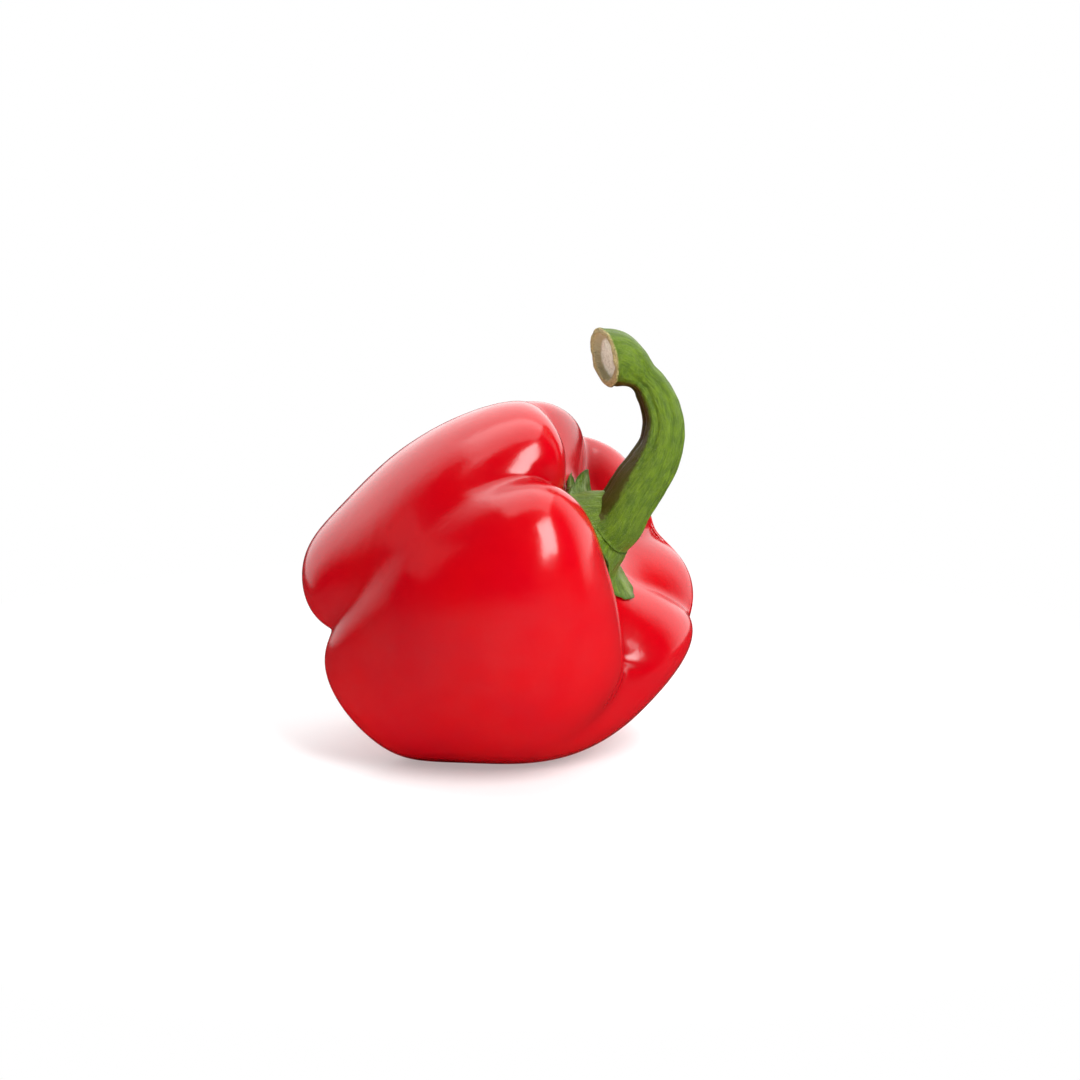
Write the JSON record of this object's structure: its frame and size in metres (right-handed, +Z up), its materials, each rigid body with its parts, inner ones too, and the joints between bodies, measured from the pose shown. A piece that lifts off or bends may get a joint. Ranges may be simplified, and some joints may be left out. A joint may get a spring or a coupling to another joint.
{
  "type": "bell pepper",
  "caption": "Ripe red bell pepper lying on its side, a lobed glossy fruit with a hooked green stem and a pointed calyx, for kitchen, market and still-life scenes.",
  "frame": {"origin": "bottom centre of the bounding box, on the surface that the pepper lies on", "axes": "+Z is up as the pepper lies; +X is the way its stem end points, seen from above, with the fruit's axis rising 32 degrees toward the stem; +Y completes the right-handed frame"},
  "size_m": [0.0894, 0.0916, 0.1036],
  "materials": {
    "fruit_skin": "ripe red pepper skin, smooth and wet-looking, very glossy",
    "calyx_green": "fresh green calyx, satin, with a pale bloom along its folds",
    "stem_green": "fresh green ribbed stem, satin, with fine pale hairs and a dry tan cut end"
  },
  "bodies": {
    "root": {"fruit": "fruit_skin", "calyx": "calyx_green", "stem": "stem_green"}
  },
  "joints": []
}
